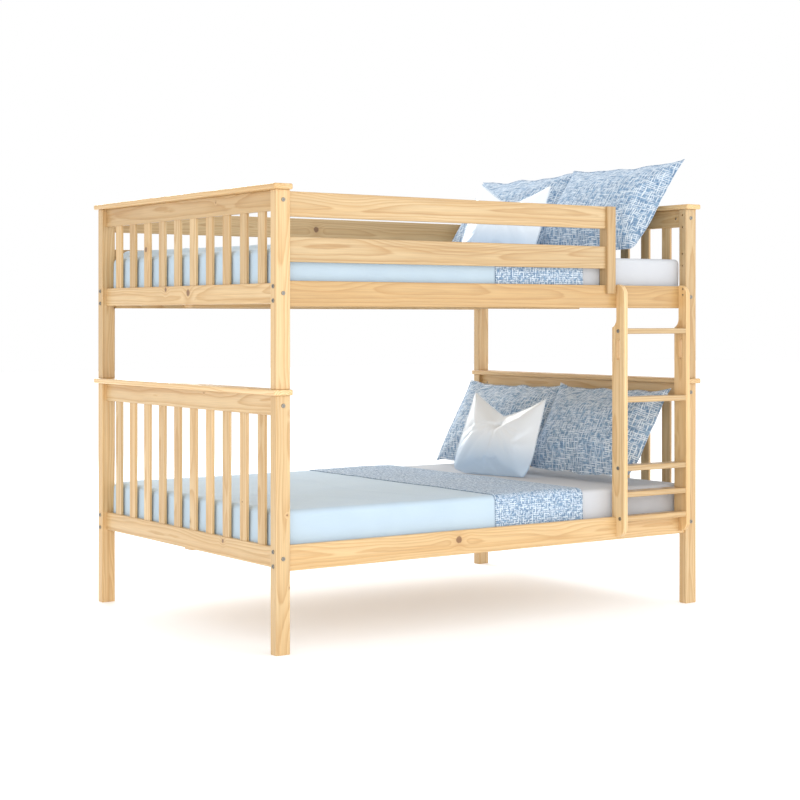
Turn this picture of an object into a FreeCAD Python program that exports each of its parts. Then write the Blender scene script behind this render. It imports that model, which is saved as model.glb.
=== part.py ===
import FreeCAD, Part
import math
import os

# Stackable full-size bunk bed with a bolted ladder, dressed with mattresses, blankets, throws and pillows.
# Layout frame: X runs from the foot posts' outer faces to the head posts, Y from the front posts' front
# faces to the rear, Z up from the floor. Millimetres. Everything is moved to the part's origin on export.

# ---------------------------------------------------------------- driving dimensions
MATTRESS_LENGTH = 1905.0
MATTRESS_WIDTH = 1360.0
MATTRESS_THICKNESS = 160.0
MATTRESS_EDGE_RADIUS = 30.0
MATTRESS_END_GAP = 2.0            # to each end rail
MATTRESS_SIDE_GAP = 17.0          # to each side rail

POST_ACROSS_END = 40.0            # post size along Y
POST_ALONG_BED = 57.0             # post size along X
LOWER_POST_HEIGHT = 900.0
UPPER_POST_HEIGHT = 694.0
POST_EDGE_RADIUS = 3.0

CAP_THICKNESS = 20.0
CAP_WIDTH = 76.0
CAP_OVERHANG = 15.0               # past the posts' outer faces
CAP_CORNER_RADIUS = 8.0
CAP_EDGE_RADIUS = 5.0

END_RAIL_THICKNESS = 19.0
END_RAIL_HEIGHT = 72.0
END_RAIL_RISE = 298.0             # bottom rail's underside above the post's foot
SIDE_RAIL_THICKNESS = 22.0
SIDE_RAIL_HEIGHT = 90.0
SIDE_RAIL_RISE = 288.0            # side rail's underside above the post's foot
BOARD_EDGE_RADIUS = 3.0

END_SLAT_COUNT = 10
END_SLAT_WIDTH = 50.0
END_SLAT_THICKNESS = 11.0
END_SLAT_TENON = 10.0
SLAT_EDGE_RADIUS = 2.0

CLEAT_THICKNESS = 22.0
CLEAT_HEIGHT = 24.0
CENTRE_BEAM_WIDTH = 60.0
DECK_SLAT_COUNT = 14
DECK_SLAT_WIDTH = 70.0
DECK_SLAT_THICKNESS = 18.0
DECK_SLAT_END_GAP = 2.0

GUARD_BOARD_HEIGHT = 88.0
GUARD_BOARD_THICKNESS = 22.0
GUARD_BOARD_GAP = 70.0            # between the two boards
GUARD_TOP_DROP = 5.0              # top board's upper edge below the post's top
GUARD_POST_WIDTH = 44.0
GUARD_POST_FRONT_LAP = 12.0       # thickness of the tongue in front of the side rail
GUARD_POST_LAP_DEPTH = 33.0       # how far the tongue hangs below the rail's top
GUARD_POST_MATTRESS_GAP = 1.0

LADDER_WIDTH = 356.0
LADDER_CAP_GAP = 8.0              # to the head cap, or to the head post where that is wider
LADDER_GUARD_GAP = 12.0           # to the guard post
STILE_THICKNESS = 20.0
STILE_NARROW_DEPTH = 47.0
STILE_WIDE_DEPTH = 72.0
STILE_TOP_RISE = 3.0              # above the upper side rail
STILE_TONGUE = 78.0               # below the lower side rail's top edge
STILE_CORNER_RADIUS = 45.0
STILE_EDGE_RADIUS = 2.5
COVE_RISE = 35.0
COVE_FOOT_DROP = 168.0            # cove's lower end below the upper rail's top edge
HAND_SLOT_WIDTH = 20.0
HAND_SLOT_LENGTH = 85.0
HAND_SLOT_DROP = 42.0             # slot's upper end below the top rung's upper face

RUNG_THICKNESS = 22.0
RUNG_DEPTH = 66.0
RUNG_FRONT_INSET = 3.0            # behind the stiles' front edges
RUNG_EDGE_RADIUS = 4.0
TOP_RUNG_DROP = 171.0             # below the upper side rail's top edge
FOOT_RUNG_RISE = 5.0              # above the lower side rail's top edge
LOW_RUNG_PITCH = 96.0
MID_RUNG_PITCH = 104.0

BOLT_DIAMETER = 6.0
BOLT_HEAD_DIAMETER = 15.0
BOLT_HEAD_HEIGHT = 3.0
BOLT_HEAD_ROUNDING = 1.5
SOCKET_ACROSS_FLATS = 5.0
SOCKET_DEPTH = 2.6
NUT_DIAMETER = 10.0
NUT_LENGTH = 14.0
NUT_SETBACK = 40.0                # barrel nut's axis from the end of the board it sits in
NUT_SETBACK_IN_STILE = 24.0
BOLT_PAST_NUT = 8.0
SIDE_BOLT_SPACING = 50.0
STILE_BOLT_DROPS = (12.0, 36.0)   # below the upper side rail's top edge
LAP_SCREW_SPACING = 22.0
LAP_SCREW_BITE = 8.0
HOLE_CLEARANCE = 0.5              # on the diameter of bolt, nut and dowel holes

DOWEL_DIAMETER = 8.0
DOWEL_LENGTH = 40.0
DOWEL_SPACING = 49.0              # the two dowels in the end of a guard board
RUNG_DOWEL_LENGTH = 30.0
RUNG_DOWEL_IN_STILE = 12.0
RUNG_DOWEL_SPACING = 28.0

PIN_DIAMETER = 10.0
PIN_LENGTH = 70.0
PIN_HOLE_CLEARANCE = 0.4

BLANKET_THICKNESS = 4.0
BLANKET_LENGTH = 1372.0           # from the foot of the mattress towards the head
THROW_THICKNESS = 4.0
THROW_WIDTH = 432.0
DRAPE_CLEARANCE = 0.3
BLANKET_HEM_RISE = 14.0           # hem above the deck, between mattress and side rail
THROW_HEM_RISE = 24.0

PILLOW_GAP = 8.0                  # between the two pillows
PILLOW_THICKNESS = 130.0
PILLOW_EDGE_RADIUS = 48.0
UPPER_PILLOW_HEIGHT = 450.0
UPPER_PILLOW_LEAN = 34.0
LOWER_PILLOW_HEIGHT = 410.0
LOWER_PILLOW_LEAN = 30.0
PILLOW_SIDE_INSET = 8.0           # from the mattress's long edges
CUSHION_WIDTH = 430.0
CUSHION_HEIGHT = 335.0
CUSHION_THICKNESS = 90.0
CUSHION_EDGE_RADIUS = 40.0
CUSHION_LEAN = 21.0
CUSHION_TURN = 15.0               # its front turned towards the bed's front
CUSHION_OFFSET = 75.0             # its middle, from the bed's middle towards the rear
CUSHION_PUSHES = 6                # each takes up the distance that is left to the pillows
SOFT_GAP = 0.4                    # between a resting soft piece and what carries it

# ---------------------------------------------------------------- derived layout
V = FreeCAD.Vector
BED_LENGTH = MATTRESS_LENGTH + 2 * MATTRESS_END_GAP + POST_ALONG_BED + END_RAIL_THICKNESS
BED_WIDTH = MATTRESS_WIDTH + 2 * MATTRESS_SIDE_GAP + POST_ACROSS_END + SIDE_RAIL_THICKNESS
POST_MID_X = POST_ALONG_BED / 2
POST_MID_Y = POST_ACROSS_END / 2

END_RAIL_OUTER = POST_MID_X - END_RAIL_THICKNESS / 2
END_RAIL_INNER = POST_MID_X + END_RAIL_THICKNESS / 2
SIDE_RAIL_OUTER = POST_MID_Y - SIDE_RAIL_THICKNESS / 2
SIDE_RAIL_INNER = POST_MID_Y + SIDE_RAIL_THICKNESS / 2
CAP_INNER = CAP_WIDTH - CAP_OVERHANG

MATTRESS_FOOT = END_RAIL_INNER + MATTRESS_END_GAP
MATTRESS_HEAD = MATTRESS_FOOT + MATTRESS_LENGTH
MATTRESS_FRONT = SIDE_RAIL_INNER + MATTRESS_SIDE_GAP
MATTRESS_REAR = MATTRESS_FRONT + MATTRESS_WIDTH

LADDER_RIGHT = BED_LENGTH - max(POST_ALONG_BED, CAP_INNER) - LADDER_CAP_GAP
LADDER_LEFT = LADDER_RIGHT - LADDER_WIDTH
GUARD_POST_RIGHT = LADDER_LEFT - LADDER_GUARD_GAP
GUARD_POST_LEFT = GUARD_POST_RIGHT - GUARD_POST_WIDTH
STILE_FRONT = SIDE_RAIL_OUTER - STILE_NARROW_DEPTH
STILE_WIDE_BACK = STILE_FRONT + STILE_WIDE_DEPTH

PILLOW_WIDTH = (MATTRESS_WIDTH - 2 * PILLOW_SIDE_INSET - PILLOW_GAP) / 2
THROW_HEAD = MATTRESS_FOOT + BLANKET_LENGTH
THROW_FOOT = THROW_HEAD - THROW_WIDTH

ORIGIN = V(BED_LENGTH / 2, (STILE_FRONT + BED_WIDTH + CAP_OVERHANG) / 2, 0)
OVERRUN = 1.0                     # how far a cutting body runs past the face that it opens


class Bed:
    """The heights of one of the two stacked beds."""

    def __init__(self, name, base, post_height, pillow_height, pillow_lean):
        self.name = name
        self.base = base
        self.top = base + post_height
        self.low_rail = base + END_RAIL_RISE
        self.top_rail = self.top - END_RAIL_HEIGHT
        self.side_rail = base + SIDE_RAIL_RISE
        self.side_rail_top = self.side_rail + SIDE_RAIL_HEIGHT
        self.side_rail_mid = self.side_rail + SIDE_RAIL_HEIGHT / 2
        self.cleat_top = self.side_rail + CLEAT_HEIGHT
        self.deck_top = self.cleat_top + DECK_SLAT_THICKNESS
        self.mattress_top = self.deck_top + MATTRESS_THICKNESS
        self.pillow_height = pillow_height
        self.pillow_lean = pillow_lean


LOWER = Bed("lower", 0.0, LOWER_POST_HEIGHT, LOWER_PILLOW_HEIGHT, LOWER_PILLOW_LEAN)
UPPER_BASE = LOWER_POST_HEIGHT + CAP_THICKNESS
UPPER = Bed("upper", UPPER_BASE, UPPER_POST_HEIGHT, UPPER_PILLOW_HEIGHT, UPPER_PILLOW_LEAN)

GUARD_TOP_BOARD = UPPER.top - GUARD_TOP_DROP - GUARD_BOARD_HEIGHT
GUARD_LOW_BOARD = GUARD_TOP_BOARD - GUARD_BOARD_GAP - GUARD_BOARD_HEIGHT

TOP_RUNG = UPPER.side_rail_top - TOP_RUNG_DROP
FOOT_RUNG = LOWER.side_rail_top + FOOT_RUNG_RISE
THIRD_RUNG = FOOT_RUNG + LOW_RUNG_PITCH + MID_RUNG_PITCH
RUNG_TOPS = (TOP_RUNG, (TOP_RUNG + THIRD_RUNG) / 2, THIRD_RUNG, FOOT_RUNG + LOW_RUNG_PITCH, FOOT_RUNG)
BOLTED_RUNGS = (0, 2, 4)


# ---------------------------------------------------------------- shape helpers
def block(x0, x1, y0, y1, z0, z1):
    return Part.makeBox(x1 - x0, y1 - y0, z1 - z0, V(x0, y0, z0))


def runs_along(edge, axis):
    """True for a straight edge that is parallel to one of the axes named in 'XYZ' order."""
    step = edge.Vertexes[-1].Point - edge.Vertexes[0].Point
    across = [abs(value) for index, value in enumerate(step) if index != "XYZ".index(axis)]
    return max(across) < 1e-6


def rounded(shape, radius, axes="XYZ"):
    """Round the edges that are parallel to the given axes."""
    chosen = [edge for edge in shape.Edges if any(runs_along(edge, axis) for axis in axes)]
    return shape.makeFillet(radius, chosen)


def board(x0, x1, y0, y1, z0, z1, along, radius=BOARD_EDGE_RADIUS):
    """A sawn board with its long edges eased."""
    return rounded(block(x0, x1, y0, y1, z0, z1), radius, along)


def rod(diameter, start, along, length):
    return Part.makeCylinder(diameter / 2, length, start, along)


def to_head(shape):
    """Mirror a foot-end piece to the head end."""
    return shape.mirror(V(BED_LENGTH / 2, 0, 0), V(1, 0, 0))


def to_rear(shape):
    """Mirror a front piece to the rear."""
    return shape.mirror(V(0, BED_WIDTH / 2, 0), V(0, 1, 0))


class Fastener:
    """The solids of a bolt, dowel or pin, and the holes that it needs in whatever it passes."""

    def __init__(self, solids, voids):
        self.solids = solids
        self.voids = voids

    def mirrored(self, mirror):
        return Fastener([mirror(s) for s in self.solids], [mirror(v) for v in self.voids])


def bolt_head(start, along):
    """A low round head standing on the face at start, with a hexagon socket."""
    face = start - along * BOLT_HEAD_HEIGHT
    head = rod(BOLT_HEAD_DIAMETER, face, along, BOLT_HEAD_HEIGHT)
    rim = [edge for edge in head.Edges if edge.Closed and edge.BoundBox.Center.distanceToPoint(face) < 0.01]
    head = head.makeFillet(BOLT_HEAD_ROUNDING, rim)
    side = V(0, 0, 1)
    other = along.cross(side)
    corner_radius = SOCKET_ACROSS_FLATS / math.sqrt(3)
    corners = []
    for turn in range(7):
        angle = math.radians(60 * turn)
        spoke = side * (corner_radius * math.cos(angle)) + other * (corner_radius * math.sin(angle))
        corners.append(face - along * OVERRUN + spoke)
    hexagon = Part.Face(Part.makePolygon(corners))
    return head.cut(hexagon.extrude(along * (SOCKET_DEPTH + OVERRUN)))


def bolt(start, along, through, mouth, half_thickness, setback=NUT_SETBACK):
    """A bolt from the face at start, and the barrel nut that it pulls on inside the second board."""
    hole_diameter = BOLT_DIAMETER + HOLE_CLEARANCE
    nut_mid = start + along * (through + setback)
    shank_length = through + setback + BOLT_PAST_NUT
    shank = rod(BOLT_DIAMETER, start - along * (BOLT_HEAD_HEIGHT - SOCKET_DEPTH), along,
                shank_length + BOLT_HEAD_HEIGHT - SOCKET_DEPTH)
    nut = rod(NUT_DIAMETER, nut_mid - mouth * (NUT_LENGTH / 2), mouth, NUT_LENGTH)
    nut = nut.cut(rod(hole_diameter, nut_mid - along * NUT_DIAMETER, along, 2 * NUT_DIAMETER))
    hole = rod(hole_diameter, start - along * OVERRUN, along, shank_length + 2 * OVERRUN)
    pocket = rod(NUT_DIAMETER + HOLE_CLEARANCE, nut_mid - mouth * (NUT_LENGTH / 2), mouth,
                 NUT_LENGTH / 2 + half_thickness + OVERRUN)
    return Fastener([bolt_head(start, along).fuse(shank), nut], [hole, pocket])


def screw(start, along, length):
    """A screw with the bolts' head that ends inside the wood."""
    shank = rod(BOLT_DIAMETER, start - along * (BOLT_HEAD_HEIGHT - SOCKET_DEPTH), along,
                length + BOLT_HEAD_HEIGHT - SOCKET_DEPTH)
    hole = rod(BOLT_DIAMETER + HOLE_CLEARANCE, start - along * OVERRUN, along, length + 2 * OVERRUN)
    return Fastener([bolt_head(start, along).fuse(shank)], [hole])


def dowel(start, along, length=DOWEL_LENGTH):
    """A loose wooden dowel that lies across a joint."""
    peg = rounded(rod(DOWEL_DIAMETER, start, along, length), 1.0)
    hole = rod(DOWEL_DIAMETER + HOLE_CLEARANCE, start - along * OVERRUN, along, length + 2 * OVERRUN)
    return Fastener([peg], [hole])


def drilled(shape, fasteners):
    """Cut the fasteners' holes wherever they meet the shape."""
    bounds = shape.BoundBox
    voids = [void for item in fasteners for void in item.voids if bounds.intersect(void.BoundBox)]
    return shape.cut(Part.makeCompound(voids)) if voids else shape


# ---------------------------------------------------------------- fasteners
def corner_bolts(bed):
    """The four bolts of the foot-front post: two into the end rails, two into the side rail."""
    items = []
    for rail_bottom in (bed.low_rail, bed.top_rail):
        start = V(POST_MID_X, 0, rail_bottom + END_RAIL_HEIGHT / 2)
        items.append(bolt(start, V(0, 1, 0), POST_ACROSS_END, V(1, 0, 0), END_RAIL_THICKNESS / 2))
    for side in (-1, 1):
        start = V(0, POST_MID_Y, bed.side_rail_mid + side * SIDE_BOLT_SPACING / 2)
        items.append(bolt(start, V(1, 0, 0), POST_ALONG_BED, V(0, 1, 0), SIDE_RAIL_THICKNESS / 2))
    return items


def frame_bolts(bed):
    front_foot = corner_bolts(bed)
    front_head = [item.mirrored(to_head) for item in front_foot]
    rear = [item.mirrored(to_rear) for item in front_foot + front_head]
    return front_foot + front_head + rear


def stacking_pins():
    """One steel pin across each joint between a lower and an upper post."""
    start = V(POST_MID_X, POST_MID_Y, LOWER.top + CAP_THICKNESS / 2 - PIN_LENGTH / 2)
    pin = rounded(rod(PIN_DIAMETER, start, V(0, 0, 1), PIN_LENGTH), 2.0)
    hole = rod(PIN_DIAMETER + PIN_HOLE_CLEARANCE, start, V(0, 0, 1), PIN_LENGTH + OVERRUN)
    first = Fastener([pin], [hole])
    front = [first, first.mirrored(to_head)]
    return front + [item.mirrored(to_rear) for item in front]


def board_dowels(joint_x, boards):
    """Two dowels across the joint at joint_x for each guard board, given by its lower edge."""
    items = []
    for bottom in boards:
        for side in (-1, 1):
            height = bottom + GUARD_BOARD_HEIGHT / 2 + side * DOWEL_SPACING / 2
            items.append(dowel(V(joint_x - DOWEL_LENGTH / 2, POST_MID_Y, height), V(1, 0, 0)))
    return items


def rung_dowels():
    """Two dowels in each end of the rungs that have no bolt."""
    items = []
    left_face = LADDER_LEFT + STILE_THICKNESS
    right_face = LADDER_RIGHT - STILE_THICKNESS
    for index, top in enumerate(RUNG_TOPS):
        if index in BOLTED_RUNGS:
            continue
        for side in (-1, 1):
            middle = STILE_FRONT + RUNG_FRONT_INSET + RUNG_DEPTH / 2 + side * RUNG_DOWEL_SPACING / 2
            height = top - RUNG_THICKNESS / 2
            left = V(left_face - RUNG_DOWEL_IN_STILE, middle, height)
            right = V(right_face + RUNG_DOWEL_IN_STILE, middle, height)
            items.append(dowel(left, V(1, 0, 0), RUNG_DOWEL_LENGTH))
            items.append(dowel(right, V(-1, 0, 0), RUNG_DOWEL_LENGTH))
    return items


def ladder_bolts():
    """Bolts through the stiles into the rungs, and through the upper side rail into the stiles."""
    items = []
    for index in BOLTED_RUNGS:
        front, back = rung_span(index)
        height = RUNG_TOPS[index] - RUNG_THICKNESS / 2
        for face, along in ((LADDER_LEFT, 1), (LADDER_RIGHT, -1)):
            start = V(face, (front + back) / 2, height)
            items.append(bolt(start, V(along, 0, 0), STILE_THICKNESS, V(0, 0, -1), RUNG_THICKNESS / 2))
    for middle, mouth in ((LADDER_LEFT + STILE_THICKNESS / 2, 1), (LADDER_RIGHT - STILE_THICKNESS / 2, -1)):
        for drop in STILE_BOLT_DROPS:
            start = V(middle, SIDE_RAIL_INNER, UPPER.side_rail_top - drop)
            items.append(bolt(start, V(0, -1, 0), SIDE_RAIL_THICKNESS, V(mouth, 0, 0),
                              STILE_THICKNESS / 2, NUT_SETBACK_IN_STILE))
    return items


def lap_screws():
    """Two screws through the upper side rail into the guard post's tongue."""
    middle = (GUARD_POST_LEFT + GUARD_POST_RIGHT) / 2
    height = UPPER.side_rail_top - GUARD_POST_LAP_DEPTH / 2
    items = []
    for side in (-1, 1):
        start = V(middle + side * LAP_SCREW_SPACING / 2, SIDE_RAIL_INNER, height)
        items.append(screw(start, V(0, -1, 0), SIDE_RAIL_THICKNESS + LAP_SCREW_BITE))
    return items


# ---------------------------------------------------------------- bed frame
def post(bed):
    """The foot-front post."""
    return rounded(block(0, POST_ALONG_BED, 0, POST_ACROSS_END, bed.base, bed.top), POST_EDGE_RADIUS)


def cap(bed):
    """The foot end's cap: a wide flat board over both posts and the top rail."""
    plank = block(-CAP_OVERHANG, CAP_INNER, -CAP_OVERHANG, BED_WIDTH + CAP_OVERHANG,
                  bed.top, bed.top + CAP_THICKNESS)
    plank = rounded(plank, CAP_CORNER_RADIUS, "Z")
    rims = [edge for edge in plank.Edges if edge.BoundBox.ZLength < 1e-6]
    return plank.makeFillet(CAP_EDGE_RADIUS, rims)


def end_slat_fronts():
    """The front edge of each upright slat, evenly spaced between the posts."""
    span = BED_WIDTH - 2 * POST_ACROSS_END
    gap = (span - END_SLAT_COUNT * END_SLAT_WIDTH) / (END_SLAT_COUNT + 1)
    return [POST_ACROSS_END + gap + n * (END_SLAT_WIDTH + gap) for n in range(END_SLAT_COUNT)]


def end_slats(bed, clearance=0.0):
    """The foot end's upright slats, or with a clearance the mortises that they stand in."""
    x0 = POST_MID_X - END_SLAT_THICKNESS / 2 - clearance
    x1 = POST_MID_X + END_SLAT_THICKNESS / 2 + clearance
    z0 = bed.low_rail + END_RAIL_HEIGHT - END_SLAT_TENON - clearance
    z1 = bed.top_rail + END_SLAT_TENON + clearance
    slats = []
    for front in end_slat_fronts():
        slat = block(x0, x1, front - clearance, front + END_SLAT_WIDTH + clearance, z0, z1)
        slats.append(rounded(slat, SLAT_EDGE_RADIUS, "Z"))
    return Part.makeCompound(slats)


def end_rail(bed, bottom):
    rail = board(END_RAIL_OUTER, END_RAIL_INNER, POST_ACROSS_END, BED_WIDTH - POST_ACROSS_END,
                 bottom, bottom + END_RAIL_HEIGHT, "Y")
    return rail.cut(end_slats(bed, HOLE_CLEARANCE / 2))


def side_rail(bed):
    """The front side rail."""
    return board(POST_ALONG_BED, BED_LENGTH - POST_ALONG_BED, SIDE_RAIL_OUTER, SIDE_RAIL_INNER,
                 bed.side_rail, bed.side_rail_top, "X")


def deck_supports(bed):
    """A cleat on each side rail's inner face and the beam between the end rails."""
    cleat = board(POST_ALONG_BED, BED_LENGTH - POST_ALONG_BED, SIDE_RAIL_INNER,
                  SIDE_RAIL_INNER + CLEAT_THICKNESS, bed.side_rail, bed.cleat_top, "X", SLAT_EDGE_RADIUS)
    middle = BED_WIDTH / 2
    beam = board(END_RAIL_INNER, BED_LENGTH - END_RAIL_INNER, middle - CENTRE_BEAM_WIDTH / 2,
                 middle + CENTRE_BEAM_WIDTH / 2, bed.side_rail, bed.cleat_top, "X", SLAT_EDGE_RADIUS)
    return Part.makeCompound([cleat, beam, to_rear(cleat)])


def deck_slats(bed):
    """Cross slats that lie on the cleats and the centre beam."""
    first = POST_ALONG_BED
    pitch = (BED_LENGTH - 2 * POST_ALONG_BED - DECK_SLAT_WIDTH) / (DECK_SLAT_COUNT - 1)
    y0 = SIDE_RAIL_INNER + DECK_SLAT_END_GAP
    slats = []
    for n in range(DECK_SLAT_COUNT):
        x0 = first + n * pitch
        slats.append(board(x0, x0 + DECK_SLAT_WIDTH, y0, BED_WIDTH - y0, bed.cleat_top, bed.deck_top,
                           "Y", SLAT_EDGE_RADIUS))
    return Part.makeCompound(slats)


# ---------------------------------------------------------------- guard
def guard_board(x_end, bottom):
    """A guard board in the front post line, from the foot post to x_end."""
    half = GUARD_BOARD_THICKNESS / 2
    return board(POST_ALONG_BED, x_end, POST_MID_Y - half, POST_MID_Y + half,
                 bottom, bottom + GUARD_BOARD_HEIGHT, "X")


def guard_post():
    """Stands on the upper side rail, with a tongue that laps over the rail's face."""
    front = SIDE_RAIL_OUTER - GUARD_POST_FRONT_LAP
    back = MATTRESS_FRONT - GUARD_POST_MATTRESS_GAP
    top = GUARD_TOP_BOARD + GUARD_BOARD_HEIGHT
    foot = UPPER.side_rail_top - GUARD_POST_LAP_DEPTH
    corners = [(front, foot), (SIDE_RAIL_OUTER, foot), (SIDE_RAIL_OUTER, UPPER.side_rail_top),
               (back, UPPER.side_rail_top), (back, top), (front, top), (front, foot)]
    outline = Part.makePolygon([V(GUARD_POST_LEFT, y, z) for y, z in corners])
    upright = Part.Face(outline).extrude(V(GUARD_POST_WIDTH, 0, 0))
    edges = [edge for edge in upright.Edges
             if runs_along(edge, "Z") and edge.Length > GUARD_POST_LAP_DEPTH + OVERRUN]
    return upright.makeFillet(BOARD_EDGE_RADIUS, edges)


# ---------------------------------------------------------------- ladder
def rung_span(index):
    """Front and back of a rung. The foot rung stops in front of the lower side rail."""
    front = STILE_FRONT + RUNG_FRONT_INSET
    if index == len(RUNG_TOPS) - 1:
        return front, SIDE_RAIL_OUTER - DRAPE_CLEARANCE
    return front, front + RUNG_DEPTH


def rung(index):
    front, back = rung_span(index)
    top = RUNG_TOPS[index]
    return board(LADDER_LEFT + STILE_THICKNESS, LADDER_RIGHT - STILE_THICKNESS, front, back,
                 top - RUNG_THICKNESS, top, "X", RUNG_EDGE_RADIUS)


def corner_arc(centre_y, centre_z, radius, start_degrees):
    """A quarter circle in the YZ plane, turning anticlockwise as seen from the head."""
    points = []
    for turn in (0, 45, 90):
        angle = math.radians(start_degrees + turn)
        points.append(V(0, centre_y + radius * math.cos(angle), centre_z + radius * math.sin(angle)))
    return Part.Arc(*points).toShape()


def cove_arc(narrow_back, top, foot):
    """The hollow that leads from the narrow upper part out to the wide part's back."""
    step = STILE_WIDE_BACK - narrow_back
    radius = (step ** 2 + COVE_RISE ** 2) / (2 * step)
    half_turn = math.asin(COVE_RISE / radius) / 2
    middle = V(0, narrow_back + radius - radius * math.cos(half_turn), top - radius * math.sin(half_turn))
    return Part.Arc(V(0, narrow_back, top), middle, V(0, STILE_WIDE_BACK, foot)).toShape()


def hand_slot():
    """A rounded slot through the stile, just below the top rung."""
    radius = HAND_SLOT_WIDTH / 2
    middle = (STILE_FRONT + STILE_WIDE_BACK) / 2
    top = TOP_RUNG - HAND_SLOT_DROP
    low = top - HAND_SLOT_LENGTH
    depth = STILE_THICKNESS + 2 * OVERRUN
    slot = block(-OVERRUN, STILE_THICKNESS + OVERRUN, middle - radius, middle + radius,
                 low + radius, top - radius)
    for height in (low + radius, top - radius):
        slot = slot.fuse(rod(HAND_SLOT_WIDTH, V(-OVERRUN, middle, height), V(1, 0, 0), depth))
    return slot


def stile(left_face):
    """A ladder side, notched over the lower side rail and narrowed in front of the upper one."""
    front = STILE_FRONT
    top = UPPER.side_rail_top + STILE_TOP_RISE
    bottom = LOWER.side_rail_top - STILE_TONGUE
    notch = LOWER.side_rail_top + DRAPE_CLEARANCE
    tongue_back = SIDE_RAIL_OUTER - DRAPE_CLEARANCE
    radius = min(STILE_CORNER_RADIUS, STILE_NARROW_DEPTH - 2 * STILE_EDGE_RADIUS)
    cove_foot = UPPER.side_rail_top - COVE_FOOT_DROP
    cove_top = cove_foot + COVE_RISE
    lower_arc = corner_arc(front + radius, bottom + radius, radius, 180)
    upper_arc = corner_arc(front + radius, top - radius, radius, 90)
    lines = [
        [(tongue_back, bottom), (front + radius, bottom)],
        [(front, bottom + radius), (front, top - radius)],
        [(front + radius, top), (SIDE_RAIL_OUTER, top), (SIDE_RAIL_OUTER, cove_top)],
        [(STILE_WIDE_BACK, cove_foot), (STILE_WIDE_BACK, notch), (tongue_back, notch), (tongue_back, bottom)],
    ]
    edges = [lower_arc, upper_arc, cove_arc(SIDE_RAIL_OUTER, cove_top, cove_foot)]
    for run in lines:
        edges += Part.makePolygon([V(0, y, z) for y, z in run]).Edges
    outline = Part.Wire(Part.__sortEdges__(edges))
    side = Part.Face(outline).extrude(V(STILE_THICKNESS, 0, 0))
    front_rims = [edge for edge in side.Edges if edge.BoundBox.XLength < 1e-6
                  and edge.BoundBox.YMax < front + radius + 0.01]
    side = side.makeFillet(STILE_EDGE_RADIUS, front_rims)
    side = side.cut(hand_slot())
    side.translate(V(left_face, 0, 0))
    return side


# ---------------------------------------------------------------- bedding
def mattress(bed):
    pad = block(MATTRESS_FOOT, MATTRESS_HEAD, MATTRESS_FRONT, MATTRESS_REAR, bed.deck_top, bed.mattress_top)
    return rounded(pad, MATTRESS_EDGE_RADIUS)


def drape_line(offset, hem, top):
    """The line over the mattress from hem to hem, this far outside its cross-section."""
    front = MATTRESS_FRONT - offset
    rear = MATTRESS_REAR + offset
    radius = MATTRESS_EDGE_RADIUS + offset
    high = top + offset
    low = high - radius
    rear_arc = corner_arc(rear - radius, low, radius, 0)
    front_arc = corner_arc(front + radius, low, radius, 90)
    rear_drop = Part.makeLine(V(0, rear, hem), V(0, rear, low))
    across = Part.makeLine(V(0, rear - radius, high), V(0, front + radius, high))
    front_drop = Part.makeLine(V(0, front, low), V(0, front, hem))
    return [rear_drop, rear_arc, across, front_arc, front_drop]


def draped(bed, x0, x1, offset, thickness, hem):
    """A cloth over the mattress that hangs down both sides to the hem."""
    inner = drape_line(offset, hem, bed.mattress_top)
    outer = drape_line(offset + thickness, hem, bed.mattress_top)
    hems = []
    for inside, outside in ((MATTRESS_FRONT - offset, MATTRESS_FRONT - offset - thickness),
                            (MATTRESS_REAR + offset, MATTRESS_REAR + offset + thickness)):
        hems.append(Part.makeLine(V(0, inside, hem), V(0, outside, hem)))
    outline = Part.Wire(Part.__sortEdges__(inner + outer + hems))
    cloth = Part.Face(outline).extrude(V(x1 - x0, 0, 0))
    cloth.translate(V(x0, 0, 0))
    return cloth


def blanket(bed):
    return draped(bed, MATTRESS_FOOT, THROW_HEAD - OVERRUN, DRAPE_CLEARANCE, BLANKET_THICKNESS,
                  bed.deck_top + BLANKET_HEM_RISE)


def throw(bed):
    offset = 2 * DRAPE_CLEARANCE + BLANKET_THICKNESS
    return draped(bed, THROW_FOOT, THROW_HEAD, offset, THROW_THICKNESS, bed.deck_top + THROW_HEM_RISE)


def leaning_pad(width, height, thickness, radius, lean, back_foot, middle, seat, turn=0.0):
    """A rounded pad that stands on the surface at seat, its back face leaning towards the head."""
    pad = rounded(block(-thickness, 0, -width / 2, width / 2, 0, height), radius)
    pad.rotate(V(0, 0, 0), V(0, 1, 0), lean)
    angle = math.radians(lean)
    lowest = radius * (math.sin(angle) + math.cos(angle) - 1)
    pad.rotate(V(0, 0, 0), V(0, 0, 1), turn)
    pad.translate(V(back_foot, middle, seat - lowest))
    return pad


def pillow_back_foot(bed):
    """Where a pillow's back face meets the mattress, so that it comes to rest on the cap or below it."""
    angle = math.radians(bed.pillow_lean)
    radius = PILLOW_EDGE_RADIUS
    cap_edge = BED_LENGTH - CAP_INNER - SOFT_GAP
    top_corner = (bed.pillow_height - radius) * math.sin(angle) + radius * (1 - math.cos(angle))
    pillow_top = bed.mattress_top + (bed.pillow_height - radius) * math.cos(angle)
    if pillow_top < bed.top:
        return cap_edge - top_corner
    lowest = radius * (math.sin(angle) + math.cos(angle) - 1)
    rise = bed.top + CAP_THICKNESS - (bed.mattress_top + SOFT_GAP - lowest)
    return cap_edge - rise * math.tan(angle) - SOFT_GAP / math.cos(angle)


def pillow(bed, middle):
    return leaning_pad(PILLOW_WIDTH, bed.pillow_height, PILLOW_THICKNESS, PILLOW_EDGE_RADIUS,
                       bed.pillow_lean, pillow_back_foot(bed), middle, bed.mattress_top + SOFT_GAP)


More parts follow.
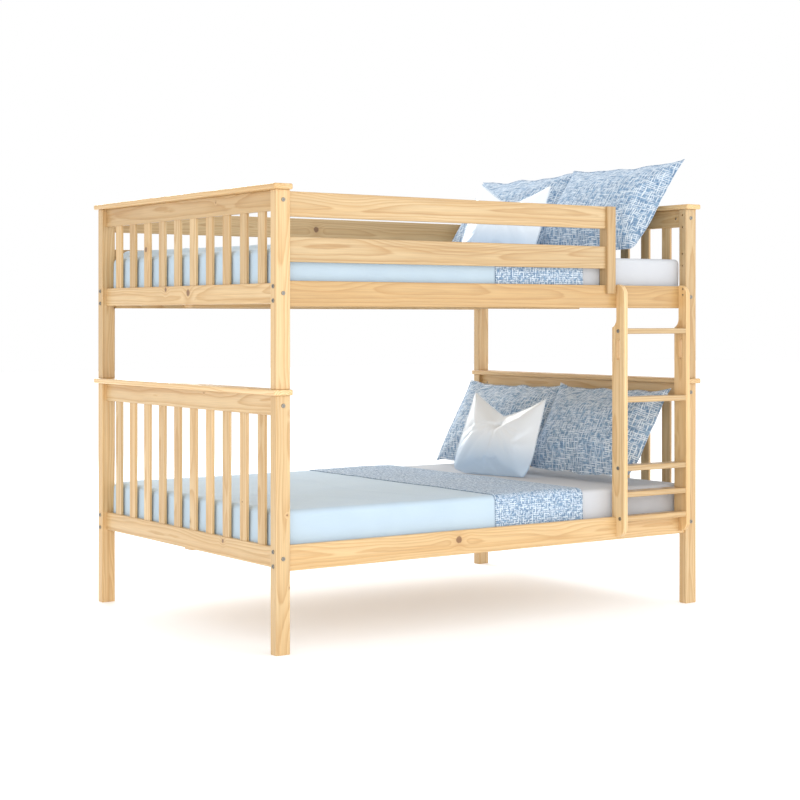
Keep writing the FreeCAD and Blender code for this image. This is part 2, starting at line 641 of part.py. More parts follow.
def cushion(bed, pillows):
    """The small cushion, turned a little towards the front and pushed back until it meets the pillows."""
    foot_edge = pillow_back_foot(bed) - 2 * PILLOW_THICKNESS
    pad = leaning_pad(CUSHION_WIDTH, CUSHION_HEIGHT, CUSHION_THICKNESS, CUSHION_EDGE_RADIUS, CUSHION_LEAN,
                      foot_edge, BED_WIDTH / 2 + CUSHION_OFFSET, bed.mattress_top + SOFT_GAP, CUSHION_TURN)
    for _ in range(CUSHION_PUSHES):
        clearance = min(pad.distToShape(pillow)[0] for pillow in pillows)
        pad.translate(V(clearance - SOFT_GAP, 0, 0))
    return pad


# ---------------------------------------------------------------- assembly
def bed_nodes(bed, fasteners):
    """Every wooden piece of one bed's frame, by name."""
    nodes = {}
    front_post = post(bed)
    end_rails = {"top": end_rail(bed, bed.top_rail), "bottom": end_rail(bed, bed.low_rail)}
    for end, turned in (("foot", lambda shape: shape), ("head", to_head)):
        nodes[f"post_{end}_front"] = turned(front_post)
        nodes[f"post_{end}_rear"] = to_rear(turned(front_post))
        nodes[f"cap_{end}"] = turned(cap(bed))
        nodes[f"rail_top_{end}"] = turned(end_rails["top"])
        nodes[f"rail_bottom_{end}"] = turned(end_rails["bottom"])
        nodes[f"slats_{end}"] = turned(end_slats(bed))
    nodes["side_rail_front"] = side_rail(bed)
    nodes["side_rail_rear"] = to_rear(side_rail(bed))
    nodes["deck_supports"] = deck_supports(bed)
    nodes["deck_slats"] = deck_slats(bed)
    return {f"{name}_{bed.name}": drilled(shape, fasteners) for name, shape in nodes.items()}


def bedding_nodes(bed):
    half_width = PILLOW_WIDTH / 2
    front_middle = MATTRESS_FRONT + PILLOW_SIDE_INSET + half_width
    rear_middle = MATTRESS_REAR - PILLOW_SIDE_INSET - half_width
    pillows = [pillow(bed, front_middle), pillow(bed, rear_middle)]
    nodes = {
        "mattress": mattress(bed),
        "blanket": blanket(bed),
        "throw": throw(bed),
        "pillow_front": pillows[0],
        "pillow_rear": pillows[1],
        "cushion": cushion(bed, pillows),
    }
    return {f"{name}_{bed.name}": shape for name, shape in nodes.items()}


def export(name, shape):
    shape.translate(ORIGIN * -1)
    shape.exportStep(f"parts/{name}.step")


def group(fasteners):
    return Part.makeCompound([solid for item in fasteners for solid in item.solids])


pins = stacking_pins()
lower_bolts = frame_bolts(LOWER)
upper_bolts = frame_bolts(UPPER)
guard_boards = (GUARD_LOW_BOARD, GUARD_TOP_BOARD)
foot_dowels = board_dowels(POST_ALONG_BED, guard_boards)
head_dowels = [item.mirrored(to_head) for item in foot_dowels]
rear_dowels = [item.mirrored(to_rear) for item in foot_dowels + head_dowels]
guard_dowels = foot_dowels + board_dowels(GUARD_POST_LEFT, guard_boards) + rear_dowels
ladder_dowels = rung_dowels()
ladder_fixings = ladder_bolts()
screws = lap_screws()
upper_fasteners = upper_bolts + pins + guard_dowels + head_dowels + ladder_fixings + screws

model = {}
model.update(bed_nodes(LOWER, lower_bolts + pins))
model.update(bed_nodes(UPPER, upper_fasteners))
model["frame_bolts_lower"] = group(lower_bolts)
model["frame_bolts_upper"] = group(upper_bolts + screws)
model["stacking_pins"] = group(pins)

board_end = BED_LENGTH - POST_ALONG_BED
for place, bottom in (("bottom", GUARD_LOW_BOARD), ("top", GUARD_TOP_BOARD)):
    model[f"guard_board_front_{place}"] = drilled(guard_board(GUARD_POST_LEFT, bottom), guard_dowels)
rear_boards = [drilled(to_rear(guard_board(board_end, bottom)), guard_dowels) for bottom in guard_boards]
model["guard_boards_rear"] = Part.makeCompound(rear_boards)
model["guard_post"] = drilled(guard_post(), guard_dowels + screws)
model["wood_dowels"] = group(guard_dowels + ladder_dowels)

ladder_fasteners = ladder_fixings + ladder_dowels
model["ladder_stile_left"] = drilled(stile(LADDER_LEFT), ladder_fasteners)
model["ladder_stile_right"] = drilled(stile(LADDER_RIGHT - STILE_THICKNESS), ladder_fasteners)
for number in range(len(RUNG_TOPS)):
    model[f"ladder_rung_{number + 1}"] = drilled(rung(number), ladder_fasteners)
model["ladder_bolts"] = group(ladder_fixings)

for bed_level in (LOWER, UPPER):
    model.update(bedding_nodes(bed_level))

os.makedirs("parts", exist_ok=True)
for node_name, node_shape in model.items():
    export(node_name, node_shape)
print(len(model), "nodes")
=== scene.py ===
import math

import bpy
import numpy as np
from mathutils import Matrix, Vector, noise


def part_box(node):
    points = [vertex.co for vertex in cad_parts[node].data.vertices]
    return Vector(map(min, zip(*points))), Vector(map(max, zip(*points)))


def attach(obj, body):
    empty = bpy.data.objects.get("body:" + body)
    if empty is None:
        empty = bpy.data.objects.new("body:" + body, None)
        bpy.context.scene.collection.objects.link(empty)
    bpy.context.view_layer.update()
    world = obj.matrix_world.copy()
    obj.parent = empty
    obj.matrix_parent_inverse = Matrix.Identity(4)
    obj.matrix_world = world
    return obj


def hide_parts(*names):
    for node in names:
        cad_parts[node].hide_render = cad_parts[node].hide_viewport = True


# Bunk bed with ladder: natural pine frame, two made-up beds. Metres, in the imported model's own frame:
# X along the bed from foot (-) to head (+), Y across it from front (-) to rear (+), Z up from the floor.
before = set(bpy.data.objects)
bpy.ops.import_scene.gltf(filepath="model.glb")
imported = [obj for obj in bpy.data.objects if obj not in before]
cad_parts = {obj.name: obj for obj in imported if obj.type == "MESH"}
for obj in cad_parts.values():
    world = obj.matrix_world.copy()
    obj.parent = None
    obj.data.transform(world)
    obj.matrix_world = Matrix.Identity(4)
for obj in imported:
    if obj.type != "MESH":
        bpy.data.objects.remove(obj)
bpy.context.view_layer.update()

BEDS = ("lower", "upper")

# ---------------------------------------------------------------- sizes that the frame doesn't hold
MATTRESS_RADIUS = 0.020
FOOT_TUCK = 0.006            # mattress drawn back at the foot, so that the blanket can hang there
BLANKET_THICKNESS = 0.0026
THROW_THICKNESS = 0.0022
LAYER_GAP = 0.0005
SEAT_GAP = 0.0008            # between a pillow and the mattress

PILLOW_HEIGHT = {"lower": 0.410, "upper": 0.450}
PILLOW_LEAN = {"lower": 30.0, "upper": 34.0}
CUSHION_LEAN = 21.0
CUSHION_TURN = 15.0
CUSHION_ROLL = 4.0           # its rear side higher

END_SLATS = 10
END_SLAT_WIDTH = 0.050
DECK_SLATS = 14
DECK_SLAT_WIDTH = 0.070
DECK_SUPPORTS = 3            # two cleats and the centre beam
GUARD_BOARDS = 2


# ---------------------------------------------------------------- camera, light and floor
CAMERA_PLACE = (-4.0436, -5.9798, 1.1662)
CAMERA_HEADING = -35.646     # degrees about Z; the camera is level
CAMERA_SENSOR = 36.0         # mm
CAMERA_LENS = 78.98          # mm
CAMERA_SHIFT = (-0.0581, -0.1019)
CAMERA_REACH = 100.0         # how far it sees

BED_MIDDLE = (0, 0, 0.8)
LOWER_BED_MIDDLE = (0.3, 0, 0.4)
LAMPS = (                    # name, place, target, size, watts, colour
    ("key_light", (1.0, -6.5, 4.2), BED_MIDDLE, 4.5, 58, (1, 1, 1)),
    ("left_fill", (-4.0, -5.2, 1.3), LOWER_BED_MIDDLE, 4.0, 100, (1, 1, 1)),
    ("right_fill", (3.4, -5.8, 1.0), LOWER_BED_MIDDLE, 4.0, 58, (1, 1, 1)),
    ("rear_light", (1.0, 6.0, 3.8), LOWER_BED_MIDDLE, 4.0, 280, (0.92, 0.97, 1.0)),
)
FLOOR_HALF = 30.0
FLOOR_GLOW = 0.22            # lifts the floor towards the white of the backdrop


def aim(lamp, target):
    """Turns a lamp, which shines along its own -Z, towards a point."""
    lamp.rotation_euler = (Vector(target) - lamp.location).to_track_quat("-Z", "Y").to_euler()


def add_camera():
    data = bpy.data.cameras.new("camera")
    data.sensor_width = CAMERA_SENSOR
    data.lens = CAMERA_LENS
    data.shift_x, data.shift_y = CAMERA_SHIFT
    data.clip_end = CAMERA_REACH
    camera = bpy.data.objects.new("camera", data)
    camera.location = CAMERA_PLACE
    camera.rotation_euler = (math.radians(90), 0, math.radians(CAMERA_HEADING))
    bpy.context.scene.collection.objects.link(camera)
    bpy.context.scene.camera = camera


def add_area_light(name, place, target, size, watts, colour):
    data = bpy.data.lights.new(name, "AREA")
    data.shape = "DISK"
    data.size = size
    data.energy = watts
    data.color = colour
    lamp = bpy.data.objects.new(name, data)
    lamp.location = place
    bpy.context.scene.collection.objects.link(lamp)
    aim(lamp, target)


def add_studio():
    for lamp in LAMPS:
        add_area_light(*lamp)
    world = bpy.data.worlds.new("studio")
    world.use_nodes = True
    sky = world.node_tree.nodes["Background"]
    sky.inputs["Color"].default_value = (1, 1, 1, 1)
    sky.inputs["Strength"].default_value = 1.0
    bpy.context.scene.world = world
    bpy.context.scene.view_settings.view_transform = "Standard"


def add_floor():
    half = FLOOR_HALF
    corners = [(-half, -half, 0), (half, -half, 0), (half, half, 0), (-half, half, 0)]
    mesh = bpy.data.meshes.new("floor")
    mesh.from_pydata(corners, [], [(0, 1, 2, 3)])
    floor = bpy.data.objects.new("floor", mesh)
    bpy.context.scene.collection.objects.link(floor)
    graph = Graph("floor_paint", roughness=0.9, Emission_Color=(1, 1, 1, 1), Emission_Strength=FLOOR_GLOW)
    mottle = graph.noise(graph.coordinates(), 1.5, detail=3)
    graph.colour(graph.blend(mottle, (0.93, 0.93, 0.93), (0.96, 0.96, 0.96)))
    mesh.materials.append(graph.material)


# ---------------------------------------------------------------- node graphs
class Graph:
    """A material built around one Principled shader, with short calls for its nodes."""

    def __init__(self, name, roughness, **constants):
        self.material = bpy.data.materials.new(name)
        self.material.use_nodes = True
        self.tree = self.material.node_tree
        self.shader = self.tree.nodes["Principled BSDF"]
        self.shader.inputs["Roughness"].default_value = roughness
        for socket, value in constants.items():
            self.shader.inputs[socket.replace("_", " ")].default_value = value

    def feed(self, socket, value):
        if isinstance(value, bpy.types.NodeSocket):
            self.tree.links.new(value, socket)
        elif isinstance(value, tuple) and socket.type == "RGBA":
            socket.default_value = (*value, 1.0)
        else:
            socket.default_value = value

    def node(self, kind, inputs=(), **settings):
        made = self.tree.nodes.new("ShaderNode" + kind)
        for key, value in settings.items():
            setattr(made, key, value)
        for key, value in dict(inputs).items():
            self.feed(made.inputs[key], value)
        return made

    def coordinates(self):
        return self.node("TexCoord").outputs["Object"]

    def math(self, operation, a, b=0.0):
        return self.node("Math", {0: a, 1: b}, operation=operation).outputs[0]

    def add(self, a, b):
        return self.math("ADD", a, b)

    def times(self, a, b):
        return self.math("MULTIPLY", a, b)

    def split(self, vector):
        return list(self.node("SeparateXYZ", {0: vector}).outputs)

    def join(self, x, y, z):
        return self.node("CombineXYZ", {0: x, 1: y, 2: z}).outputs[0]

    def noise(self, vector, scale, detail=2.0, rough=0.5):
        inputs = {"Vector": vector, "Scale": scale, "Detail": detail, "Roughness": rough}
        return self.node("TexNoise", inputs).outputs["Fac"]

    def ramp(self, value, low, high, start=0.0, end=1.0):
        """A smooth step of value from start, at low, to end, at high."""
        inputs = {"Value": value, "From Min": low, "From Max": high, "To Min": start, "To Max": end}
        return self.node("MapRange", inputs, interpolation_type="SMOOTHSTEP").outputs[0]

    def blend(self, factor, a, b, mode="MIX"):
        return self.node("Mix", {0: factor, 6: a, 7: b}, data_type="RGBA", blend_type=mode).outputs[2]

    def colour(self, value):
        self.feed(self.shader.inputs["Base Color"], value)

    def bump(self, height, distance, strength):
        inputs = {"Height": height, "Distance": distance, "Strength": strength}
        self.feed(self.shader.inputs["Normal"], self.node("Bump", inputs).outputs[0])


# ---------------------------------------------------------------- wood and metal
RING_WIDTH = 0.0085
PITH_DEPTH = 0.050           # how far beside the board's middle the pith runs, and how that varies
PITH_SPREAD = 0.02
KNOTS_PER_METRE = 4.0
SMALLEST_KNOT = 0.003
LARGEST_KNOT = 0.015
VARNISH = 0.18
PALE_PINE = (0.800, 0.590, 0.325)
LATE_PINE = (0.560, 0.310, 0.110)
HEART_PINE = (0.700, 0.440, 0.180)
KNOT_BROWN = (0.200, 0.085, 0.030)


def board_place(graph, grain, width, middle, boards):
    """(along, across, deep, row): the place in a board's own axes, from its middle, and which board of the
    node it is. boards is (start, pitch) along the width, where one node holds a row of boards."""
    place = graph.split(graph.coordinates())
    depth = 3 - grain - width
    along, across, deep = (graph.add(place[axis], -middle[axis]) for axis in (grain, width, depth))
    if boards is None:
        return along, across, deep, 0.0
    start, pitch = boards
    from_start = graph.add(place[width], -start)
    row = graph.math("FLOOR", graph.times(from_start, 1 / pitch))
    across = graph.add(from_start, graph.times(graph.add(row, 0.5), -pitch))
    return along, across, deep, row


def grain_noise(graph, board, along_waves, across_waves, detail):
    """Noise drawn out along the grain, with this many waves a metre along it and across it."""
    along, across, deep = board
    at = graph.join(graph.times(along, along_waves), graph.times(across, across_waves),
                    graph.times(deep, across_waves))
    return graph.noise(at, 1.0, detail=detail)


def board_knots(graph, board, share):
    """(core, halo) of the knots, one in this share of the cells of a plane that slants through the board."""
    along, across, deep = board
    slant = graph.add(across, graph.times(deep, 0.6))
    cell = graph.node("TexVoronoi", {"Vector": graph.join(along, slant, 0.0), "Scale": KNOTS_PER_METRE},
                      voronoi_dimensions="2D")
    chance = graph.split(cell.outputs["Color"])
    spread = graph.times(graph.math("POWER", chance[0], 2.0), LARGEST_KNOT - SMALLEST_KNOT)
    size = graph.add(spread, SMALLEST_KNOT)
    reach = graph.math("DIVIDE", graph.times(cell.outputs["Distance"], 1 / KNOTS_PER_METRE), size)
    present = graph.math("LESS_THAN", chance[1], share)
    ragged = graph.times(graph.add(graph.noise(graph.join(along, across, deep), 90), -0.5), 0.5)
    core = graph.times(graph.ramp(graph.add(reach, ragged), 1.15, 0.75), present)
    halo = graph.times(graph.ramp(reach, 4.5, 0.0), present)
    return core, halo


def late_wood(graph, board, halo, seed):
    """The dark late part of each growth ring, about a pith beside the board. Knots push the rings aside."""
    along, across, deep = board
    sway = graph.add(grain_noise(graph, board, 0.9, 3.0, detail=2), -0.5)
    side = graph.add(across, graph.times(sway, 0.16))
    under = graph.add(graph.add(deep, PITH_DEPTH + PITH_SPREAD * math.sin(seed)), graph.times(sway, 0.08))
    radius = graph.math("SQRT", graph.add(graph.times(side, side), graph.times(under, under)))
    radius = graph.add(radius, graph.times(halo, 0.010))
    wave = grain_noise(graph, board, 5.0, 30.0, detail=3)
    turns = graph.add(graph.times(radius, 1 / RING_WIDTH), graph.times(wave, 0.9))
    phase = graph.math("FRACT", turns)
    return graph.times(graph.math("POWER", phase, 2.2), graph.ramp(phase, 1.0, 0.86))


def pine(name, grain, width, middle, seed, tone, boards=None, knots=0.3, coat=VARNISH, warmth=0.0):
    """Knotty pine, worked out in the solid: growth rings, knots, streaks and fine fibre. grain and width
    are the axes of the board's length and width, middle is its middle, knots the share of cells with a
    knot, and warmth the share of orange heartwood."""
    graph = Graph(name, roughness=0.45, Coat_Weight=coat, Coat_Roughness=0.28, IOR=1.5)
    along, across, deep, row = board_place(graph, grain, width, middle, boards)
    along = graph.add(along, graph.add(graph.times(row, 3.17), seed * 7.31))
    board = (along, across, deep)

    core, halo = board_knots(graph, board, knots)
    late = late_wood(graph, board, halo, seed)
    fibre = grain_noise(graph, board, 7.0, 420.0, detail=3)
    streak = graph.ramp(grain_noise(graph, board, 1.1, 26.0, detail=3), 0.35, 0.72)
    band = graph.ramp(grain_noise(graph, board, 0.8, 75.0, detail=2), 0.50, 0.70)
    cloud = graph.ramp(graph.noise(graph.join(along, across, deep), 1.7, detail=2), 0.3, 0.75)
    own_tone = graph.noise(graph.join(graph.times(row, 5.3), seed * 1.7, 0.5), 1.0, detail=0)
    own_heart = graph.noise(graph.join(graph.times(row, 3.7), seed * 2.3, 8.5), 1.0, detail=0)

    heart = graph.add(graph.ramp(own_heart, 0.3, 0.7, 0.0, 0.40), warmth)
    wood = graph.blend(graph.math("MINIMUM", heart, 0.9), PALE_PINE, HEART_PINE)
    layers = ((streak, 0.55, HEART_PINE), (cloud, 0.25, HEART_PINE), (band, 0.42, LATE_PINE),
              (late, 0.85, LATE_PINE), (halo, 0.35, LATE_PINE), (core, 0.85, KNOT_BROWN))
    for field, strength, colour in layers:
        wood = graph.blend(graph.times(field, strength), wood, colour)
    shade = graph.times(graph.ramp(fibre, 0.25, 0.8, 0.88, 1.06), graph.ramp(own_tone, 0.2, 0.8, 0.88, 1.08))
    shade = graph.times(shade, tone)
    graph.colour(graph.blend(1.0, wood, graph.join(shade, shade, shade), mode="MULTIPLY"))
    graph.feed(graph.shader.inputs["Roughness"], graph.ramp(graph.add(fibre, late), 0.3, 1.6, 0.36, 0.55))
    relief = graph.add(graph.times(fibre, 0.6), graph.add(graph.times(late, 0.4), graph.times(core, 0.5)))
    graph.bump(relief, 0.0004, 0.5)
    return graph.material


def zinc(name):
    """Zinc-plated steel, finely brushed and slightly yellow."""
    graph = Graph(name, roughness=0.35, Metallic=1.0)
    place = graph.coordinates()
    mottle = graph.noise(place, 160.0, detail=4)
    drawn_out = graph.node("VectorMath", {0: place, 1: (900, 900, 90)}, operation="MULTIPLY")
    scratch = graph.noise(drawn_out.outputs[0], 1.0, detail=2)
    graph.colour(graph.blend(mottle, (0.20, 0.19, 0.17), (0.36, 0.34, 0.30)))
    graph.feed(graph.shader.inputs["Roughness"], graph.ramp(graph.add(mottle, scratch), 0.5, 1.5, 0.25, 0.5))
    graph.bump(scratch, 0.0001, 0.4)
    return graph.material


X, Y, Z = range(3)
BOARD_AXES = {               # grain and width of the boards in each kind of node
    "post": (Z, X), "cap": (Y, X), "rail": (Y, Z), "slats": (Z, Y), "side_rail": (X, Z),
    "deck_supports": (X, Y), "deck_slats": (Y, X), "guard_board": (X, Z), "guard_post": (Z, X),
    "ladder_stile": (Z, Y), "ladder_rung": (X, Y),
}
METAL_KINDS = ("frame_bolts", "ladder_bolts", "stacking_pins")
WARMTH = {"side_rail_front_upper": 0.80, "side_rail_front_lower": 0.30, "guard_boards_rear": 0.35}
TONE = {"rail": 0.86, "side_rail_front_upper": 0.80, "side_rail_front_lower": 1.0, "guard": 0.76,
        "ladder_rung": 0.77, "post_head": 0.82, "post": 0.94, "slats": 0.88, "deck": 0.90}


def board_tone(node):
    """How light the boards of a node are, by the longest start of its name that TONE holds."""
    starts = [start for start in TONE if node.startswith(start)]
    return TONE[max(starts, key=len)] if starts else 1.0


def row_of_boards(node, low, high):
    """(start, pitch), along their width, of the boards of a node that holds several, or None."""
    if node.startswith("slats"):
        pitch = (high.y - low.y - END_SLAT_WIDTH) / (END_SLATS - 1)
        return low.y - (pitch - END_SLAT_WIDTH) / 2, pitch
    if node.startswith("deck_slats"):
        pitch = (high.x - low.x - DECK_SLAT_WIDTH) / (DECK_SLATS - 1)
        return low.x - (pitch - DECK_SLAT_WIDTH) / 2, pitch
    if node.startswith("deck_supports"):
        return low.y, (high.y - low.y) / DECK_SUPPORTS
    if node == "guard_boards_rear":
        return low.z, (high.z - low.z) / GUARD_BOARDS
    return None


def finish_frame():
    """Gives every wooden and metal node its own material."""
    steel = zinc("zinc_steel")
    seed = 0
    for node in sorted(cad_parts):
        seed += 1
        low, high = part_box(node)
        middle = (low + high) / 2
        kinds = [kind for kind in BOARD_AXES if node.startswith(kind)]
        if node.startswith(METAL_KINDS):
            material = steel
        elif node == "wood_dowels":
            material = pine("beech_dowels", X, Z, middle, seed, tone=0.95, knots=0.0, coat=0.0)
        elif kinds:
            grain, width = BOARD_AXES[max(kinds, key=len)]
            coat = 0.0 if node.startswith("deck") else VARNISH
            material = pine("pine_" + node, grain, width, middle, seed, tone=board_tone(node),
                            boards=row_of_boards(node, low, high), coat=coat, warmth=WARMTH.get(node, 0.0))
        else:
            continue
        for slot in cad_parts[node].material_slots:
            slot.material = material


# ---------------------------------------------------------------- cloth materials
def threads(graph, place, across, along, width, length):
    """Noise drawn out into threads of this width and length. They run along the axis along, are thin on
    the other two, and are shifted on the axis across, so that two sets of them differ."""
    scale = [1 / width] * 3
    scale[along] = 1 / length
    parts = [graph.times(place[axis], scale[axis]) for axis in range(3)]
    parts[across] = graph.add(parts[across], 11.3)
    return graph.noise(graph.join(*parts), 1.0, rough=0.6)


def ribs(graph, coordinate, pitch):
    """A rounded rib at each pitch, from 0 to 1."""
    return graph.math("ABSOLUTE", graph.math("SINE", graph.times(coordinate, math.pi / pitch)))


def yarns(graph, across, along, pitch, length, seed):
    """Parallel yarns at each pitch, bright and faint by turns along their length, from 0 to 1."""
    fade_at = graph.join(graph.times(across, 1 / pitch), graph.times(along, 1 / length), seed)
    fade = graph.ramp(graph.noise(fade_at, 1.0, detail=2), 0.42, 0.62)
    return graph.times(graph.ramp(ribs(graph, across, pitch), 0.35, 0.85), fade)


FINE_RIB = 0.0022


def slub_weave(name, first, second, colours, pitch, length, folded=False):
    """Loose crosshatch of pale and dark yarns over a ground colour, along the axes first and second.
    colours are the ground, the pale and the dark yarn, and length is how far a yarn keeps its shade.
    On a folded cloth the third axis counts as the second does, so that it keeps its yarns over an edge."""
    ground, pale, dark = colours
    graph = Graph(name, roughness=0.85, Sheen_Weight=0.15, Sheen_Roughness=0.5)
    place = graph.split(graph.coordinates())
    wobble = graph.times(graph.noise(graph.coordinates(), 30.0, detail=1), 0.006)
    a = graph.add(place[first], wobble)
    b = graph.add(place[second], wobble)
    if folded:
        b = graph.add(b, place[3 - first - second])
    light = graph.math("MAXIMUM", yarns(graph, a, b, pitch, length, 3.1),
                       yarns(graph, b, a, pitch, length, 7.7))
    beside_a, beside_b = graph.add(a, pitch / 2), graph.add(b, pitch / 2)
    shade = graph.math("MAXIMUM", yarns(graph, beside_a, b, 1.1 * pitch, 0.6 * length, 1.3),
                       yarns(graph, beside_b, a, 1.1 * pitch, 0.6 * length, 5.9))
    tint = graph.ramp(graph.noise(graph.coordinates(), 9.0, detail=3), 0.3, 0.7)
    cloth = graph.blend(tint, ground, tuple(0.85 * part for part in ground))
    cloth = graph.blend(graph.times(shade, 0.75), cloth, dark)
    cloth = graph.blend(graph.times(light, 0.90), cloth, pale)
    graph.colour(cloth)
    weave = graph.times(ribs(graph, a, FINE_RIB), ribs(graph, b, FINE_RIB))
    graph.bump(graph.add(graph.times(weave, 0.5), light), 0.0008, 0.8)
    return graph.material


def plain_weave(name, colour, tint, pitch, sheen):
    """Fine even cotton: crossed ribs in the bump, faint thread and dye variation in the colour."""
    graph = Graph(name, roughness=0.85, Sheen_Weight=sheen, Sheen_Roughness=0.45)
    place = graph.split(graph.coordinates())
    rib = [ribs(graph, coordinate, pitch) for coordinate in place]
    cross = graph.times(graph.math("MAXIMUM", rib[0], rib[1]), graph.math("MAXIMUM", rib[1], rib[2]))
    yarn = graph.add(threads(graph, place, Y, X, 0.0012, 0.03), threads(graph, place, X, Y, 0.0012, 0.03))
    dye = graph.noise(graph.coordinates(), 6.0, detail=3)
    factor = graph.times(graph.add(graph.ramp(yarn, 0.7, 1.3), graph.ramp(dye, 0.3, 0.7)), 0.5)
    graph.colour(graph.blend(factor, colour, tint))
    graph.bump(graph.add(cross, graph.times(yarn, 0.6)), 0.0003, 0.5)
    return graph.material


def satin(name):
    """White satin with long floats and a soft shine, with painted shade: bluer and darker towards the bottom
    edge.
    """
    graph = Graph(name, roughness=0.34, Sheen_Weight=0.3, Sheen_Roughness=0.3, Coat_Weight=0.15,
                  Coat_Roughness=0.3)
    place = graph.split(graph.coordinates())
    floats = threads(graph, place, Y, Z, 0.0009, 0.03)
    cloud = graph.noise(graph.coordinates(), 7.0, detail=2)
    white = graph.blend(graph.times(graph.add(floats, cloud), 0.5), (0.86, 0.92, 0.97), (0.92, 0.95, 0.98))
    # painted shade: the white turns blue-grey towards the bottom edge, where the cushion lies in shade
    graph.colour(graph.blend(graph.ramp(place[Z], 0.03, -0.14), white, (0.52, 0.66, 0.82)))
    graph.feed(graph.shader.inputs["Roughness"], graph.ramp(floats, 0.3, 0.7, 0.28, 0.42))
    graph.bump(floats, 0.0003, 0.35)
    return graph.material


# ---------------------------------------------------------------- rounded shells: mattress and sheets
ARC_STEPS = 5
GRID_TOLERANCE = 1e-6
QUAD = ((0, 0), (1, 0), (1, 1), (0, 1))      # the corners of a grid cell, in order round it


def ticks(low, high, radius, step):
    """Grid lines from low to high, closer together where the edges are rounded."""
    turn = np.tan(np.linspace(math.pi / 4, 0, ARC_STEPS + 1))
    count = max(1, round((high - low - 2 * radius) / step))
    flat = np.linspace(low + radius, high - radius, count + 1)
    return np.concatenate([low + radius * (1 - turn), flat[1:-1], high - radius * (1 - turn[::-1])])


def shell(name, low, high, radius, step, relief, wanted=None):
    """A rounded box of quads. wanted(corners) says whether a quad of the unrounded box is kept, and
    relief(point, outward) how far the surface stands out from the rounded box there."""
    low, high = np.array(low, float), np.array(high, float)
    lines = [ticks(low[axis], high[axis], radius, step) for axis in range(3)]
    points, quads, known = [], [], {}

    def vertex(point):
        key = tuple(np.round(point, 6))
        if key not in known:
            known[key] = len(points)
            points.append(point)
        return known[key]

    for axis in range(3):
        u, v = (axis + 1) % 3, (axis + 2) % 3
        for side in (low, high):
            for i in range(len(lines[u]) - 1):
                for j in range(len(lines[v]) - 1):
                    corners = []
                    for di, dj in QUAD:
                        corner = np.empty(3)
                        corner[axis] = side[axis]
                        corner[u] = lines[u][i + di]
                        corner[v] = lines[v][j + dj]
                        corners.append(corner)
                    if wanted is not None and not wanted(np.array(corners)):
                        continue
                    quad = [vertex(corner) for corner in corners]
                    quads.append(quad if side is high else quad[::-1])
    placed = []
    for point in points:
        inner = np.clip(point, low + radius, high - radius)
        outward = (point - inner) / np.linalg.norm(point - inner)
        on = inner + radius * outward
        placed.append(on + relief(on, outward) * outward)
    mesh = bpy.data.meshes.new(name)
    mesh.from_pydata([tuple(point) for point in placed], [], quads)
    return piece(name, mesh)


def piece(name, mesh):
    """A smooth-shaded object of this mesh, in the scene."""
    mesh.polygons.foreach_set("use_smooth", [True] * len(mesh.polygons))
    made = bpy.data.objects.new(name, mesh)
    bpy.context.scene.collection.objects.link(made)
    return made


def ripple(point, scale, seed):
    """Smooth noise from -1 to 1 with this many waves a metre."""
    return noise.noise(Vector(point) * scale + Vector((seed, 2.7 * seed, 5.1)))


def crease(point, scale, seed, sharpness=3.0):
    """Narrow ridges along winding lines, from 0 to 1."""
    return max(0.0, 1 - abs(ripple(point, scale, seed)) * sharpness) ** 2


def mattress_relief(seed):
    """The fitted cover: faint hollows on top, small tucks where it turns the corners."""
    def relief(point, outward):
        hollow = 0.0012 * ripple(point, 4.0, seed) - 0.0012
        tuck = -0.0012 * crease(point * np.array((1.0, 1.0, 0.35)), 22.0, seed) * (1 - abs(outward[2]))
        return hollow + tuck
    return relief


HANG_LENGTH = 0.10


def hanging(point, top):
    """From 0 above the mattress's rounded edge, at top, to 1 where a sheet hangs free."""
    return max(0.0, min(1.0, (top - point[2]) / HANG_LENGTH))


def blanket_relief(seed, top):
    """The blanket: broad soft swells and a few creases on top, slack folds where it hangs."""
    def relief(point, outward):
        drawn = point * np.array((1.0, 0.45, 1.0))
        swell = 0.0016 * (1 + ripple(drawn, 3.1, seed))
        folds = 0.0022 * crease(point * np.array((0.8, 0.35, 0.8)), 4.2, seed + 4, 6.0)
        hang = hanging(point, top)
        slack = 0.0030 * hang * (1 + ripple(point * np.array((1.0, 1.0, 0.12)), 11.0, seed + 9))
        return swell * (1 - 0.6 * hang) + folds * (1 - hang) + slack
    return relief


FOOT_RISE = {"lower": (0.0, 0.0), "upper": (0.014, 0.030)}   # front and rear, at the foot of the blanket
FOOT_RISE_LENGTH = 0.90
CAP_CLEARANCE = 0.003        # from the end cap's inner edge to where the blanket starts to rise
CAP_SLOPE = 0.035            # how soon it then has its full rise


def eased(share):
    """A smooth step from 0 to 1."""
    share = np.clip(share, 0.0, 1.0)
    return share * share * (3 - 2 * share)


def plumped(cloth, bed, low, high):
    """Lifts the blanket's top towards the foot of the bed, where it lies thicker, clear of the end cap."""
    front, rear = FOOT_RISE[bed]
    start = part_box(f"cap_foot_{bed}")[1].x + CAP_CLEARANCE
    for vertex in cloth.data.vertices:
        across = (vertex.co.y - low.y) / (high.y - low.y)
        up = np.clip((vertex.co.z - low.z) / (high.z - low.z), 0.0, 1.0)
        past_cap = eased((vertex.co.x - start) / CAP_SLOPE)
        near_foot = 1 - eased((vertex.co.x - low.x) / FOOT_RISE_LENGTH)
        vertex.co.z += (front + (rear - front) * across) * (past_cap * near_foot) * up
    cloth.data.update()


HEM_WIDTH = 0.022
STITCH_WIDTH = 0.0022
BLANKET_HEM = 0.0008         # how much thicker a hem is
THROW_SIDE_HEM = 0.0003
THROW_END_HEM = 0.0006


